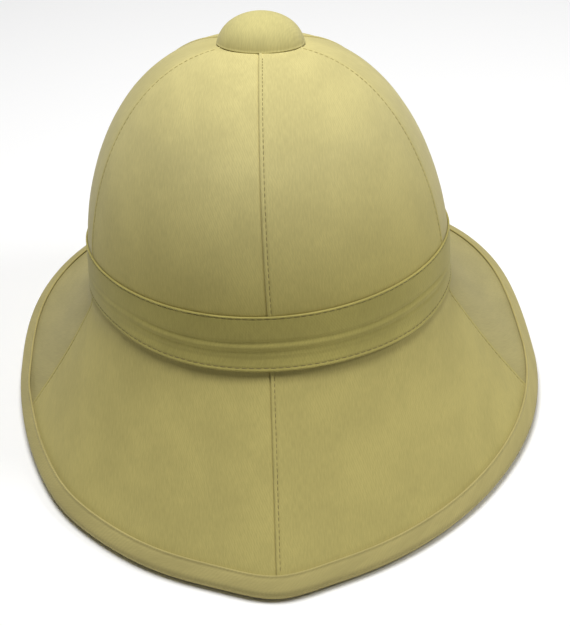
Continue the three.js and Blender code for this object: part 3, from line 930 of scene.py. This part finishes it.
class HELMET_OT_button(bpy.types.Operator):
    """Build the ventilator button: a metal cap covered in drill, on a plain post"""

    bl_idname = "helmet.button"
    bl_label = "Ventilator button"

    def execute(self, context):
        form = Form(context.scene)
        button, colours = form.button, form.colours
        radius, fold = button.radius, button.rim_fold
        drill = cotton_drill("khaki_drill_button", colours.button, wale_angle=60)
        # The cloth is turned in under the rim, rolls round it and goes up over the cap
        ball = (radius**2 + button.rise**2) / (2 * button.rise)
        section = [(radius - 4 * MM, 0.9 * MM), (radius - 1.6 * MM, 0.2 * MM)]
        for corner in np.radians([-90, -60, -30, 0, 20]):
            reach = radius - fold + fold * math.cos(corner)
            section.append((reach, fold * (1 + math.sin(corner))))
        for rise in np.sin(np.linspace(0.04, math.pi / 2, 28)):
            ball_reach = math.sqrt(ball**2 - (ball - button.rise * (1 - rise)) ** 2)
            oval_reach = radius * math.sqrt(1 - rise**2)
            section.append((mix(ball_reach, oval_reach, button.fullness), button.rise * rise))
        cap = self.turned("vent_button_cloth", section, 120, drill)
        seat = self.seat(form, button)
        self.fit_rim(form, cap, seat, button)
        weave = cap.data.uv_layers.new(name="weave")
        for loop in cap.data.loops:
            place = cap.data.vertices[loop.vertex_index].co
            weave.data[loop.index].uv = (place.x / MM, place.y / MM)
        thicken(cap, 0.5 * MM)
        cap.data.transform(seat)
        adopt(cap, ["vent_button"])

        # The post goes down through the shell, and its head carries the cap's rim
        tail = -(form.cloth.drill_face + form.cloth.shell_wall + button.post_tail)
        stem, bevel = button.post_radius, 0.5 * MM
        shaft = [(0, tail), (stem - bevel, tail), (stem, tail + bevel), (stem, 0.8 * MM)]
        head = [(radius - 3 * MM, 1.5 * MM), (radius - 5 * MM, 4 * MM), (0, 6 * MM)]
        brass = plated_brass(colours.metal)
        post = self.turned("vent_button_post", shaft + head, 48, brass)
        post.data.transform(seat)
        adopt(post, [])
        return {"FINISHED"}

    def seat(self, form, button):
        """Where a piece that was made round the Z axis sits on top of the crown."""
        turns = np.radians([0, 90, 180, -90])
        station = form.dome_station(button.radius)
        front, right, back, left = form.layer(turns, station, form.cloth.drill_face)
        across, ahead = unit(right - left), unit(back - front)
        up = np.cross(across, ahead)
        top = form.crown_point(0, form.crown.height) + up * form.cloth.drill_face
        axes = Matrix(np.array([across, np.cross(up, across), up]).T.tolist())
        return Matrix.Translation(Vector(top)) @ axes.to_4x4()

    def fit_rim(self, form, cap, seat, button):
        """Lays the rim on the crown, which falls away under it, and gathers the cloth there."""
        places = np.array([vertex.co for vertex in cap.data.vertices])
        turn = np.arctan2(places[:, 0] + button.offset, -places[:, 1])
        reach = np.hypot(places[:, 0] + button.offset, places[:, 1])
        station = form.dome_station(np.maximum(reach, 1 * MM))
        cover = form.layer(turn, station, form.cloth.drill_face)
        back = np.array(seat.inverted())
        height = cover @ back[2, :3] + back[2, 3]
        low = 1 - smooth(places[:, 2], 0, 0.8 * button.rise)
        gathers, depth = 46, 0.07 * MM
        gather = depth * np.sin(turn * gathers + 2 * np.sin(turn * 5)) * low
        gather *= smooth(reach, 0.6 * button.radius, 0.9 * button.radius) / reach.max()
        places[:, :2] *= (1 + gather)[:, None]
        places[:, 0] += button.offset
        places[:, 2] += (button.rim_gap + height) * low
        cap.data.vertices.foreach_set("co", places.ravel())

    def turned(self, name, section, sides, material):
        """A section turned about the button's axis."""
        bm = bmesh.new()
        line = [bm.verts.new((radius, 0, height)) for radius, height in section]
        edges = [bm.edges.new(pair) for pair in zip(line, line[1:])]
        whole = {"axis": (0, 0, 1), "angle": 2 * math.pi, "steps": sides, "use_merge": True}
        bmesh.ops.spin(bm, geom=[*line, *edges], cent=(0, 0, 0), **whole)
        bmesh.ops.remove_doubles(bm, verts=bm.verts, dist=1e-6)
        bmesh.ops.recalc_face_normals(bm, faces=bm.faces)
        return finish_mesh(name, bm, material)


class HELMET_OT_topstitch(bpy.types.Operator):
    """Sew the topstitching beside the lapped seams of the crown and the brim"""

    bl_idname = "helmet.topstitch"
    bl_label = "Seam topstitching"

    def execute(self, context):
        form = Form(context.scene)
        thread, colours = form.thread, form.colours
        brown = spun_thread("spun_cotton_thread", colours.thread)
        pale = spun_thread("spun_cotton_thread_pale", colours.pale_thread)
        rear, front, brim = form.crown.rear_seam, form.crown.front_seam, form.brim.seam
        middle = [(0, 1), (math.pi, -1)]
        crown_sides = [(rear, -1), (front, 1), (-rear, 1), (-front, -1)]
        brim_sides = [(brim, -1), (-brim, 1)]
        # The rows run from the button's rim to the band, and from the band to the binding
        crown = (form.dome_station(form.button.radius + 1 * MM), 0.995, "crown_drill")
        edge = (2.55, None, "brim_drill")
        runs = [
            # (name, thread, (seam, side that is sewn), (first station, last station, slot))
            ("crown_topstitch", brown, middle, crown),
            ("crown_side_topstitch", pale, crown_sides, crown),
            ("brim_topstitch", brown, middle, edge),
            ("brim_side_topstitch", pale, brim_sides, edge),
        ]
        for name, material, seams, (start, last, slot) in runs:
            bm = bmesh.new()
            for turn, side in seams:
                end = last or form.station_from_hem(turn, form.cloth.binding_width + 1 * MM)
                stations = np.linspace(start, end, SEAM_POINTS)
                line = form.surface(turn, stations)
                wide = form.surface(turn + side * STEP, stations)
                metres = np.linalg.norm(wide - line, axis=-1) / STEP
                turns = turn + side * thread.seam_inset / metres
                path = form.layer(turns, stations, form.cloth.drill_face + SEAM_THREAD_RISE)
                out = form.frame(turns, stations)[2]
                lay_stitches(bm, path, out, thread.seam_pitch, thread.gap, thread.thickness)
            adopt(finish_mesh(name, bm, material), [])
        return {"FINISHED"}


class HELMET_OT_stage(bpy.types.Operator):
    """Set the pale floor, the soft light and the camera"""

    bl_idname = "helmet.stage"
    bl_label = "Stage"

    def execute(self, context):
        scene = context.scene
        stage = plain(scene.helmet_stage)
        bm = bmesh.new()
        bmesh.ops.create_grid(bm, x_segments=1, y_segments=1, size=4)
        finish_mesh("floor", bm, white_paper())
        for name, place, size, power in SOFTBOXES:
            self.light(scene, name, place, size, getattr(stage, power))
        scene.world = bpy.data.worlds.new("room")
        scene.world.use_nodes = True
        room = scene.world.node_tree.nodes["Background"].inputs
        room["Color"].default_value = (1, 1, 1, 1)
        room["Strength"].default_value = stage.sky
        scene.view_settings.view_transform = "Standard"

        facing = (
            Matrix.Rotation(stage.azimuth, 4, "Z")
            @ Matrix.Rotation(math.pi / 2 - stage.elevation, 4, "X")
            @ Matrix.Rotation(stage.roll, 4, "Z")
        )
        target = Matrix.Translation((0, stage.target_y, stage.target_z))
        camera = bpy.data.objects.new("camera", bpy.data.cameras.new("camera"))
        camera.data.lens = stage.lens
        camera.data.sensor_width = 36
        camera.data.shift_x = stage.shift_x
        camera.data.shift_y = stage.shift_y
        camera.matrix_world = target @ facing @ Matrix.Translation((0, 0, stage.distance))
        scene.collection.objects.link(camera)
        scene.camera = camera
        return {"FINISHED"}

    def light(self, scene, name, place, size, power):
        lamp = bpy.data.lights.new(name, "AREA")
        lamp.shape = "DISK"
        lamp.size = size
        lamp.energy = power
        holder = bpy.data.objects.new(name, lamp)
        holder.location = place
        aim = Vector((0, 0, LIT_HEIGHT)) - Vector(place)
        holder.rotation_euler = aim.to_track_quat("-Z", "Y").to_euler()
        scene.collection.objects.link(holder)


PIECES = [
    HELMET_OT_stage,
    HELMET_OT_shell,
    HELMET_OT_crown_panels,
    HELMET_OT_brim_panels,
    HELMET_OT_band,
    HELMET_OT_binding,
    HELMET_OT_button,
    HELMET_OT_topstitch,
]


class HELMET_PT_pieces(bpy.types.Panel):
    """Sizes, colours and pieces of the helmet"""

    bl_label = "Pith Helmet"
    bl_space_type = "VIEW_3D"
    bl_region_type = "UI"
    bl_category = "Helmet"

    def draw(self, context):
        for name, group in GROUPS.items():
            box = self.layout.box()
            box.label(text=group.__name__.removeprefix("Helmet"))
            for key in group.__annotations__:
                box.prop(getattr(context.scene, name), key)
        for piece in PIECES:
            self.layout.operator(piece.bl_idname)


def register():
    for name, group in GROUPS.items():
        bpy.utils.register_class(group)
        setattr(bpy.types.Scene, name, bpy.props.PointerProperty(type=group))
    for piece in PIECES:
        bpy.utils.register_class(piece)
    bpy.utils.register_class(HELMET_PT_pieces)


def unregister():
    bpy.utils.unregister_class(HELMET_PT_pieces)
    for piece in reversed(PIECES):
        bpy.utils.unregister_class(piece)
    for name, group in reversed(GROUPS.items()):
        delattr(bpy.types.Scene, name)
        bpy.utils.unregister_class(group)


def main():
    register()
    bpy.ops.helmet.stage()
    bpy.ops.helmet.shell()
    bpy.ops.helmet.crown_panels()
    bpy.ops.helmet.brim_panels()
    bpy.ops.helmet.band()
    bpy.ops.helmet.binding()
    bpy.ops.helmet.button()
    bpy.ops.helmet.topstitch()


if __name__ == "__main__":
    main()
